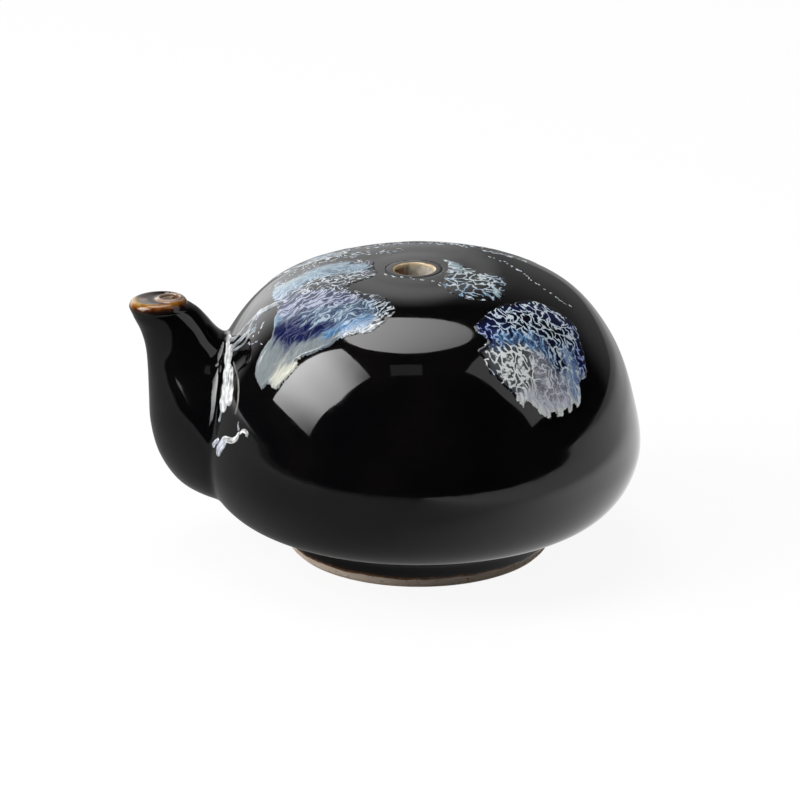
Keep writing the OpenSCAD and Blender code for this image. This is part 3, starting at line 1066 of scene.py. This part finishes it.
patches["patch_top"] = {
    "grain": -62, "light": 0.88, "cell": (1.7, 2.0), "seed": 5, "drip": (40, 50, 0),
    "outline": [
        (58, 6.8), (35, 7.0), (10, 8.2), (-6, 10.7), (-10, 13.6), (-23, 16.2), (-34, 17.7), (-44, 18.8),
        (-50, 18.3), (-60, 16.7), (-66, 13.8), (-64, 8.6), (-31, 5.1), (7, 4.9)],
    "strokes": [
        ("aqua", "slate", 0.35, 0.7, 0.4, 0.6, 0.5, [(45, 6.4), (16, 6.5), (-8, 6.9)]),
        ("aqua", "black", 1, 0.7, 0, 0.6, 1.3, [(-8, 8.4), (-24, 10.6), (-36, 12.6)]),
        ("sky", "black", 1, 0.85, 0.2, 0.1, 2.2, [(-56, 9.4), (-50, 13.6), (-46, 16.4)]),
        ("sky", "black", 1, 0.85, 0.2, 0.3, 1.2, [(-12, 13.4), (-28, 15.4)]),
        ("aqua", "slate", 0.35, 0.6, 0.4, 0.6, 0.55, [(-38, 15.8), (-43, 17.9)])]
}
patches["patch_back"] = {
    "grain": 72, "light": 0.95, "cell": (1.4, 2.4), "seed": 11, "drip": (35, 41, 0.7),
    "outline": [
        (38, 23), (54, 18), (78, 17), (100, 21.5), (108, 30), (100, 37.5), (88, 41.5), (80, 38.5),
        (72, 39.0), (64, 41.8), (54, 39.5), (42, 34), (35, 29)],
    "strokes": [
        ("pale", "indigo", 1, 0.8, 0.2, 0.5, 2, [(42, 25), (60, 20), (80, 19.5), (100, 26)]),
        ("sky", "slate", 0.3, 0.5, 1, 0.3, 1.6, [(56, 24), (60, 30), (63, 36)]),
        ("lavender", "dusk", 0.8, 0.7, 0.9, 0.5, 1.8, [(74, 24), (78, 31), (84, 36)]),
        ("violet", "night", 0.3, 0.2, 1, 0.2, 1.4, [(92, 26), (98, 31), (97, 35)]),
        ("royal", "indigo", 1, 0.5, 0.1, 0.5, 1.3, [(43, 28), (47, 33), (53, 37)]),
        ("teal", "teal", 0.05, 0.3, 1, 0.1, 1.2, [(66, 36), (76, 36.5), (86, 39)]),
        ("cream", "teal", 0.1, 1, 0.7, 0.4, 0.6, [(60, 41), (67, 40.8)]),
        ("cream", "teal", 0.1, 1, 0.7, 0.4, 0.6, [(84, 41), (91, 40.2)])]
}
patches["patch_back_small"] = {
    "grain": 143, "light": 0.95, "cell": (1.2, 2.2), "seed": 14, "drip": (31, 36, 0.6),
    "outline": [
        (128, 17.6), (146, 15), (160, 19.6), (158, 28), (149, 34), (138, 37.5), (130, 32), (124, 24)],
    "strokes": [
        ("pale", "black", 1, 0.9, 0.3, 0.6, 1.6, [(130, 20), (146, 17), (158, 22)]),
        ("sky", "slate", 0.35, 0.5, 1, 0.3, 1.5, [(144, 20), (143, 27), (141, 33)]),
        ("violet", "night", 0.4, 0.3, 1, 0.3, 1.3, [(154, 24), (152, 29)]),
        ("lavender", "dusk", 0.8, 0.7, 0.8, 0.5, 1.3, [(130, 24), (133, 29)]),
        ("cream", "teal", 0.1, 1, 0.7, 0.4, 0.8, [(136, 36.5), (141, 35.6)])]
}

pad = {
    "spacing": 0.2,
    "margin": 0.9,
    "finer": 4,         # points on a curve for each one in its list
    "seedStep": (7.3, 3.1, 0),
    # waves of size and share: the ragged edge, the fingers of one colour in the next, the drips
    "ragged": ((0.9, 1), (2.1, 0.6)),
    "comb": (((1.15, 0.28, 9), 1), ((2.6, 0.5, 4), 0.5)),
    "drips": ((0.62, 0, 0), 1),
    "dripPlace": 3.3,
    "dripEdge": (-0.12, 0.12),
    "raggedBy": 0.34,
    "combBy": 2.2,
    "dripBy": 1.1,
    # a stroke's pull on the colours round it
    "core": 0.10,
    "falloff": 1.7,
    # height over the skin: everywhere, more where the glaze is closed, a bead along the lower edge
    "lift": 0.06,
    "thick": 0.14,
    "bead": 0.14,
    "beadIn": 0.55,
    "beadWidth": 0.45,
    "sunk": 0.07,
    "slope": (-0.2, 0.35),
    "flowStep": 1.7,
}


def flatten(polar):
    # the dome unrolled flat from the crown
    polar = np.asarray(polar, float)
    a = np.radians(polar[..., 0])
    return np.stack([polar[..., 1] * np.cos(a), polar[..., 1] * np.sin(a)], axis=-1)


def toPath(points, path, closed=False):
    # distance of flat points from a row of straight pieces
    ends = np.roll(path, -1, axis=0) if closed else path[1:]
    starts = path if closed else path[:-1]
    best = np.full(len(points), 1e9)
    for a, b in zip(starts, ends):
        ab = b - a
        t = np.clip((points - a) @ ab / max(ab @ ab, 1e-9), 0, 1)
        best = np.minimum(best, np.linalg.norm(points - a - t[:, None] * ab, axis=1))
    return best


def within(points, path):
    # which flat points lie inside the outline
    out = np.zeros(len(points), bool)
    for a, b in zip(path, np.roll(path, -1, axis=0)):
        crosses = (a[1] > points[:, 1]) != (b[1] > points[:, 1])
        x = (b[0] - a[0]) * (points[:, 1] - a[1]) / ((b[1] - a[1]) or 1e-9) + a[0]
        out ^= crosses & (points[:, 0] < x)
    return out


def depthIn(points, path):
    # how far flat points lie inside the outline, below zero outside it
    return toPath(points, path, closed=True) * np.where(within(points, path), 1, -1)


def flatGrid(name, outline):
    # a flat sheet of small squares over an outline, with a margin; and its points in mm
    lo, hi = outline.min(axis=0) - pad["margin"], outline.max(axis=0) + pad["margin"]
    columns, rows = (int(n) for n in np.ceil((hi - lo) / pad["spacing"]))
    deselectAll()
    bpy.ops.mesh.primitive_grid_add(x_subdivisions=columns, y_subdivisions=rows, size=2)
    ob = bpy.context.object
    ob.name = ob.data.name = name
    flat = lo + (getPoints(ob)[:, :2] + 1) / 2 * (hi - lo)
    setPoints(ob, np.column_stack([flat * mm, np.zeros(len(flat))]))
    removePoints(ob, depthIn(flat, outline) < -pad["margin"])
    return ob, getPoints(ob)[:, :2] / mm


def nearStrokes(points, strokes):
    # what the strokes round each point give it: colour and streaming, colour of the gaps and weight
    # of the threads, openness and whiteness
    total = 0
    held = [0, 0, 0]
    for tone, gap, openness, whiteness, stream, heavy, width, path in strokes:
        line = flatten(curve(path, pad["finer"] * len(path)))
        pull = 1 / (pad["core"] + (toPath(points, line) / width) ** 2) ** pad["falloff"]
        total = total + pull
        given = ((*fired[tone], stream), (*fired[gap], heavy), (openness, whiteness, 0))
        held = [values + pull[:, None] * np.array(more) for values, more in zip(held, given)]
    return [values / total[:, None] for values in held]


def makePatch(name, plan):
    corners = plan["outline"]
    outline = flatten(curve(corners + corners[:1], pad["finer"] * len(corners) + 1)[:-1])
    ob, flat = flatGrid(name + "_coat", outline)
    count, seed = len(flat), np.array(pad["seedStep"]) * plan["seed"]
    s = np.linalg.norm(flat, axis=1)
    angle = np.arctan2(flat[:, 1], flat[:, 0])
    grain = math.radians(plan["grain"])
    downhillWay = np.array([math.cos(grain), math.sin(grain)])
    across, along = flat @ (-math.sin(grain), math.cos(grain)), flat @ downhillWay
    # colours run into each other in fingers drawn downhill
    grained = np.column_stack([across, along, np.ones(count)])
    drawn = flat + np.outer(pad["combBy"] * ripple(grained, *pad["comb"], seed=seed), downhillWay)
    tint, deep, mood = nearStrokes(drawn, plan["strokes"])
    # the lower edge hangs in drips
    start, end, hanging = plan["drip"]
    low = smoothStep(s, start, end)
    fingers = ripple(grained, pad["drips"], seed=(0, pad["dripPlace"], plan["seed"]))
    fingers = smoothStep(fingers, *pad["dripEdge"]) - 0.5
    ragged = ripple(np.column_stack([flat, np.zeros(count)]), *pad["ragged"], seed=seed)
    edge = depthIn(flat, outline) + pad["raggedBy"] * ragged * (1 - 0.5 * low)
    edge += pad["dripBy"] * hanging * low * fingers
    mood[:, 2] = edge
    bead = pad["bead"] * low * np.exp(-((edge - pad["beadIn"]) / pad["beadWidth"]) ** 2)
    lift = pad["lift"] + pad["thick"] * (1 - mood[:, 0]) + bead
    setPoints(ob, onPot(angle, s, (lift + pad["sunk"]) * smoothStep(edge, *pad["slope"]) - pad["sunk"]))
    paint(ob, "tint", tint)
    paint(ob, "deep", deep)
    paint(ob, "mood", mood)
    paint(ob, "flow", np.column_stack([across, along, np.full(count, plan["seed"] * pad["flowStep"])]))
    faceOutward(ob)
    if (getWays(ob) * (getPoints(ob) - bellyMiddle)).sum() < 0:
        turnOver(ob)
    smooth(ob)
    return ob


def swirl(tree, where, size, detail, amount):
    # sideways wander of a place
    shift = moved(tree, "SUBTRACT", clouds(tree, where, size, detail, "Color"), (0.5, 0.5, 0.5))
    return moved(tree, "MULTIPLY", shift, amount)


kiln = {
    # how the pattern wanders: size of the clouds, detail, reach across and along
    "bend": (0.30, 1, (4.0, 4.0, 0)),
    "curl": (0.80, 2, (1.9, 2.2, 0)),
    "sway": (0.80, 1, (0.8, 1.0, 0)),
    # the net of threads, combed and in cells: fineness across and along, and half a thread's width
    "comb": (1.15, 0.36, 1.0),
    "combWide": 0.15,
    "meshWide": 0.27,
    # threads break into dashes, more so towards the edge
    "dash": (1.15, 0.62, 1.0),
    "worn": (2.2, 0.2, 0.31, 0.50),
    "wornSoft": 0.03,
    "wide": (0.45, 0.85),
    # how high in the net a thread starts, which differs from place to place
    "limit": (0.95, 0.80),
    "places": 0.9,
    "heavier": 0.20,
    "threadEdge": (0.07, 0.03),
    "threads": (0.0, 0.5, 0.12, 1.0),
    # streaks in the colour, stronger where the glaze is open
    "streak": (2.6, 0.30, 1.0),
    "contrast": (0.0, 0.5, 0.13, 0.40),
    # gaps in the net, and the black they run out into
    "gapTop": (0.40, 0.34),
    "gapSoft": 0.42,
    "gapShare": 1.25,
    "black": (1.5, 0.1),
    # crumbs of thread in half open glaze
    "crumb": 2.3,
    "crumbEdge": (0.045, 0.015),
    "crumbsFrom": (0.2, 0.42),
    "crumbsTo": (0.8, 0.6, 0.0, 0.45),
    "bright": 1.4,
    "fray": (2.2, -0.2, 0.2),
    "edge": (-0.03, 0.05),
    "relief": (0.7, 0.22),
    "roughness": (0.2, 0.8, 0.05, 0.13),
    "ior": 1.5,
    "bump": (0.5, 0.0001),
}


def kilnGlaze(name, cell, light):
    # pale threads drawn downhill over coloured and black ground, closing up where the glaze lies thick
    material = bpy.data.materials.new(name)
    tree = nodes(material)
    flow = layer(tree, "flow", "Vector")
    tint, stream = layer(tree, "tint", "Color"), layer(tree, "tint", "Alpha")
    deep, heavy = layer(tree, "deep", "Color"), layer(tree, "deep", "Alpha")
    openness, whiteness, edge = axes(tree, layer(tree, "mood", "Vector"))
    path = moved(tree, "ADD", flow, swirl(tree, flow, *kiln["bend"]))
    curled = moved(tree, "ADD", path, swirl(tree, flow, *kiln["curl"]))
    path = moved(tree, "ADD", path, swirl(tree, flow, *kiln["sway"]))

    # height of the net: 1 along the middle of a thread, 0 in the gaps
    cracks = tree.nodes.new("ShaderNodeTexVoronoi")
    cracks.feature = "DISTANCE_TO_EDGE"
    cracks.voronoi_dimensions = "2D"
    cracks.inputs["Scale"].default_value = 1.0
    cells = moved(tree, "MULTIPLY", curled, (1 / cell[0], 1 / cell[1], 1.0))
    tree.links.new(cells, cracks.inputs["Vector"])
    mesh = step(tree, cracks.outputs["Distance"], kiln["meshWide"], 0.0)
    drawn = clouds(tree, moved(tree, "MULTIPLY", path, kiln["comb"]), 1.0, 1.5)
    combed = step(tree, fromHalf(tree, drawn), kiln["combWide"], 0.0)
    net = plus(tree, times(tree, combed, stream), times(tree, mesh, minus(tree, 1.0, stream)))
    dashes = clouds(tree, moved(tree, "MULTIPLY", flow, kiln["dash"]), 1.0, 1)
    worn, soft = step(tree, edge, *kiln["worn"]), kiln["wornSoft"]
    keep = step(tree, dashes, minus(tree, worn, soft), plus(tree, worn, soft))
    wide = step(tree, openness, *kiln["wide"])
    net = times(tree, net, minus(tree, 1.0, times(tree, wide, minus(tree, 1.0, keep))))
    limit = step(tree, clouds(tree, flow, kiln["places"], 2), *mostly, *kiln["limit"])
    limit = minus(tree, limit, times(tree, heavy, kiln["heavier"]))
    below, above = kiln["threadEdge"]
    core = step(tree, net, minus(tree, limit, below), plus(tree, limit, above))

    fine = clouds(tree, moved(tree, "MULTIPLY", path, kiln["streak"]), 1.0, 2)
    contrast = step(tree, openness, *kiln["contrast"])
    streaks = step(tree, fine, *mostly, minus(tree, 1.0, contrast), plus(tree, 1.0, contrast))
    closed, opened = kiln["gapTop"]
    top = plus(tree, closed, times(tree, openness, opened))
    gaps = step(tree, net, top, minus(tree, top, kiln["gapSoft"]))
    gaps = times(tree, gaps, calc(tree, "MULTIPLY", openness, kiln["gapShare"], clamp=True))
    faded = times(tree, wide, step(tree, edge, *kiln["black"]))
    under = blend(tree, faded, deep, fired["black"])
    colour = blend(tree, gaps, moved(tree, "SCALE", tint, streaks), under)
    thread = blend(tree, whiteness, moved(tree, "SCALE", tint, kiln["bright"]), fired["white"])
    crumbs = step(tree, fromHalf(tree, clouds(tree, path, kiln["crumb"], 1)), *kiln["crumbEdge"])
    amount = times(tree, step(tree, openness, *kiln["crumbsFrom"]), step(tree, openness, *kiln["crumbsTo"]))
    colour = blend(tree, times(tree, crumbs, amount), colour, thread)
    colour = blend(tree, times(tree, core, step(tree, openness, *kiln["threads"])), colour, thread)
    size, least, most = kiln["fray"]
    ragged = step(tree, clouds(tree, flow, size, 1), *mostly, least, most)
    inPatch = step(tree, plus(tree, edge, ragged), *kiln["edge"])
    colour = blend(tree, inPatch, fired["black"], moved(tree, "SCALE", colour, light))
    high, low = kiln["relief"]
    relief = times(tree, plus(tree, times(tree, core, high), times(tree, fine, low)), inPatch)
    surface(tree, colour, step(tree, fine, *kiln["roughness"]), kiln["ior"], relief, *kiln["bump"])
    return material


for patchName, plan in patches.items():
    patch = makePatch(patchName, plan)
    patch.data.materials.append(kilnGlaze(patchName + "_glaze", plan["cell"], plan["light"]))
    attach(patch, "root")
    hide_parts(patchName)
    print(patchName, len(patch.data.polygons))


print("runs")
# Runs at the spout's root, as seen from the front: colour, width and height (mm), path of x and z.
runs = [
    ("mist", 2.0, 0.16, [(-16.8, 46.0), (-18.3, 45.4), (-19.8, 44.5), (-21.0, 43.7), (-21.9, 42.9)]),
    ("mist", 1.4, 0.16, [(-21.0, 43.7), (-21.9, 42.9), (-22.7, 41.6), (-24.0, 39.9),
                         (-25.4, 38.3), (-26.5, 36.9)]),
    ("mist", 1.1, 0.14, [(-21.3, 43.6), (-22.7, 42.1), (-23.8, 40.9), (-25.0, 39.4),
                         (-25.7, 38.5), (-26.8, 37.5)]),
    ("mist", 0.7, 0.12, [(-21.6, 42.2), (-22.9, 40.7), (-23.9, 39.3), (-25.0, 38.2), (-26.0, 37.2)]),
    ("milk", 1.2, 0.18, [(-26.7, 38.4), (-26.7, 37.4), (-26.8, 36.6), (-26.9, 36.0)]),
    ("milk", 3.2, 0.30, [(-26.6, 37.2), (-26.6, 35.7), (-26.7, 34.4), (-26.8, 33.0),
                         (-26.9, 31.6), (-27.1, 30.3), (-27.4, 28.6)]),
    ("milk", 1.7, 0.24, [(-25.9, 35.6), (-25.9, 34.2), (-25.9, 32.8), (-26.1, 31.4), (-26.5, 30.2)]),
    ("smoke", 0.6, 0.12, [(-25.6, 36.4), (-24.9, 35.4), (-24.6, 34.0), (-24.6, 32.4),
                          (-24.8, 30.9), (-25.1, 29.6)]),
    ("mist", 0.9, 0.16, [(-27.5, 28.9), (-27.8, 27.8), (-28.0, 26.8)]),
    ("mist", 0.6, 0.14, [(-24.4, 29.0), (-24.6, 28.4), (-24.4, 27.5)]),
    ("milk", 0.8, 0.18, [(-24.4, 27.1), (-23.7, 27.9), (-23.0, 27.8), (-23.2, 27.1)]),
    ("milk", 1.3, 0.20, [(-24.4, 27.4), (-24.9, 26.2), (-25.5, 25.5), (-26.2, 25.3),
                         (-27.1, 24.8), (-27.6, 23.7)]),
    ("lilac", 2.4, 0.32, [(-26.6, 25.0), (-27.4, 23.9), (-28.0, 22.6), (-28.1, 21.6)]),
    ("lilac", 1.3, 0.24, [(-27.9, 24.3), (-28.7, 23.4), (-29.1, 22.4)]),
]
runTones = {"mist": (0.27, 0.29, 0.31), "milk": (0.56, 0.57, 0.57), "lilac": (0.46, 0.48, 0.54),
            "smoke": (0.15, 0.14, 0.13)}
runLook = {
    "finer": 6,         # points on the path for each one in its list
    "before": -100,     # the path is cast onto the skin from here, and from close by where that misses
    "closeBy": -4,
    "spacing": 0.12,
    "least": 16,
    "rows": 10,
    "reach": 0.3,
    "sunk": 0.05,
    # half width and height: share at the start, more along the run, more with its swelling
    "half": (0.7, 0.4, 0.35),
    "rise": (0.8, 0.3, 0.3),
    "swell": 0.8,
    # colour: share, fine mottling, streaks, darker sides
    "shade": (0.95, 0.4, 0.8, 0.45),
    "fine": 1500,
    "streaks": (0.35, 2.2, 7),
    "darkest": 0.01,
}


def onSkin(points):
    # nearest places on the glaze and the ways out of it
    found = [skinTree.find_nearest(Vector(p)) for p in points]
    return np.array([f[0] for f in found]), np.array([f[1] for f in found])


def castPath(path):
    # a path of x and z, thrown onto the skin from the front
    cast = []
    for x, z in curve(path, runLook["finer"] * len(path)):
        met = skinTree.ray_cast(Vector((x, runLook["before"], z)) * mm, Vector((0, 1, 0)))[0]
        cast.append(met or skinTree.find_nearest(Vector((x, runLook["closeBy"], z)) * mm)[0])
    return np.array(cast)


def makeRun(tone, width, high, path):
    line = castPath(path)
    far = distances(line)
    length = far[-1] / mm
    columns = max(runLook["least"], int(length / runLook["spacing"]))
    deselectAll()
    bpy.ops.mesh.primitive_grid_add(x_subdivisions=columns, y_subdivisions=runLook["rows"], size=2)
    ob = bpy.context.object
    co = getPoints(ob)
    along, u = (co[:, 0] + 1) / 2, co[:, 1]

    def follow(ahead):
        where = along * far[-1] + ahead * mm
        return np.column_stack([np.interp(where, far, line[:, k]) for k in range(3)])

    base, out = onSkin(follow(0))
    way = np.cross(out, follow(runLook["reach"]) - follow(-runLook["reach"]))
    way /= np.linalg.norm(way, axis=1, keepdims=True)
    # round ends, uneven sides, thicker towards the lower end
    fromEnd = np.minimum(along, 1 - along) * length / (0.5 * width)
    full = np.sqrt(1 - (1 - np.clip(fromEnd, 0, 1)) ** 2)
    sides = np.column_stack([along * length * runLook["swell"], width * 9 + 3 * np.sign(u),
                             np.full(len(u), path[0][0])])
    swell = ripple(sides, (1, 1))
    start, more, uneven = runLook["half"]
    half = 0.5 * width * full * (start + more * along + uneven * swell)
    base, out = onSkin(base + way * (u * half)[:, None] * mm)
    start, more, uneven = runLook["rise"]
    rise = high * (start + more * along + uneven * swell)
    rise *= np.sqrt(np.maximum(1 - u ** 2, 0)) * np.sqrt(full)
    setPoints(ob, base + out * (rise - runLook["sunk"])[:, None] * mm)
    across, down, seed = runLook["streaks"]
    placed = np.column_stack([u * half / across, along * length / down, np.full(len(u), seed)])
    streaks = ripple(placed, (1, 1))
    even, mottled, streaked, dark = runLook["shade"]
    shade = even + mottled * ripple(base, (runLook["fine"], 1)) + streaked * streaks - dark * u ** 4
    paintCoat(ob, np.clip(np.array(runTones[tone]) * shade[:, None], runLook["darkest"], 1))
    if (getWays(ob) * out).sum() < 0:
        turnOver(ob)
    return ob


def joinAll(name, pieces):
    deselectAll()
    for ob in pieces:
        ob.select_set(True)
    bpy.context.view_layer.objects.active = pieces[0]
    bpy.ops.object.join()
    ob = bpy.context.object
    ob.name = ob.data.name = name
    pick(ob)
    bpy.ops.object.transform_apply(location=True, rotation=True, scale=True)
    smooth(ob)
    return ob


rootRuns = joinAll("root_runs", [makeRun(*run) for run in runs])
rootRuns.data.materials.append(coatMaterial("run_glaze", 0.09, 0.18, 1200))
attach(rootRuns, "root")
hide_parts("patch_root")


print("flecks")
# Trails of loose flecks: how many rows, spread (mm), path of angle and way down from the crown.
trails = [
    (4, 1.4, [(157, 22.2), (147, 20.4), (132, 17.6), (115, 15.6)]),
    (2, 1.0, [(115, 16.9), (102, 16.1), (83, 16.2), (55, 16.3)]),
    (3, 1.4, [(177.5, 25.1), (165.8, 21), (153.9, 16.2), (133.2, 12.3), (110.2, 11.8)]),
    (2, 0.6, [(49, 15.7), (38, 17.6), (26, 21.4)]),
    (1, 0.35, [(32, 14.4), (8, 16.5), (-10, 20.5), (-15, 25.0), (-14, 27.3)]),
    (1, 0.35, [(-152, 6.5), (-117, 5.3), (-89, 5.8), (-67, 6.8), (-66, 8.9)]),
    (1, 0.4, [(119, 11.4), (103, 11.4)]),
    (1, 0.4, [(-150, 32.7), (-153, 32.7), (-158, 33.8)]),
    (3, 1.5, [(-160, 33.0), (-159, 31.3), (-161, 29.0)]),
]
fleck = {
    "seed": 7,
    "gap": 0.95,
    "gaps": (0.6, 1.7),
    "length": (0.45, 1.15),
    "width": (0.22, 0.40),
    "height": 0.16,
    "finer": 40,        # points on a trail for each one in its list
    "reach": 3,         # points to look ahead and behind for the way that a trail runs
    "turned": 0.5,
    "tones": ("pale", "pale", "white", "lilac", "bone"),
    "shade": (0.7, 1.0),
    "segments": 10,
    "rings": 6,
}


def oneFleck(rng, line, i, spread):
    # a flat drop near point i of a trail, turned roughly along it
    spot, out = onSkin([line[i] + np.array([rng.uniform(-1, 1) for k in range(3)]) * spread * mm])
    out = Vector(out[0])
    ahead, behind = min(i + fleck["reach"], len(line) - 1), max(i - fleck["reach"], 0)
    along = Vector(line[ahead] - line[behind]).normalized()
    along = (along + fleck["turned"] * Vector([rng.uniform(-1, 1) for k in range(3)])).normalized()
    side = out.cross(along).normalized()
    turn = Matrix((side.cross(out), side, out)).transposed().to_euler()
    size = (rng.uniform(*fleck["length"]) / 2, rng.uniform(*fleck["width"]) / 2, fleck["height"] / 2)
    deselectAll()
    bpy.ops.mesh.primitive_uv_sphere_add(segments=fleck["segments"], ring_count=fleck["rings"], radius=mm,
                                         location=spot[0], rotation=turn, scale=size)
    ob = bpy.context.object
    tone = np.array(fired[rng.choice(fleck["tones"])]) * rng.uniform(*fleck["shade"])
    paintCoat(ob, np.tile(tone, (len(ob.data.vertices), 1)))
    return ob


def makeFlecks():
    rng = random.Random(fleck["seed"])
    pieces = []
    for rows, spread, path in trails:
        line = curve(path, fleck["finer"] * len(path))
        places = onPot(np.radians(line[:, 0]), line[:, 1], np.zeros(len(line)))
        far = distances(places) / mm
        for row in range(rows):
            at = rng.uniform(0, fleck["gap"])
            while at < far[-1]:
                i = min(np.searchsorted(far, at), len(line) - 1)
                pieces.append(oneFleck(rng, places, i, spread))
                at += fleck["gap"] * rng.uniform(*fleck["gaps"])
    print("flecks", len(pieces))
    return joinAll("loose_flecks", pieces)


flecks = makeFlecks()
flecks.data.materials.append(coatMaterial("fleck_glaze", 0.10, 0.15, 1500))
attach(flecks, "root")
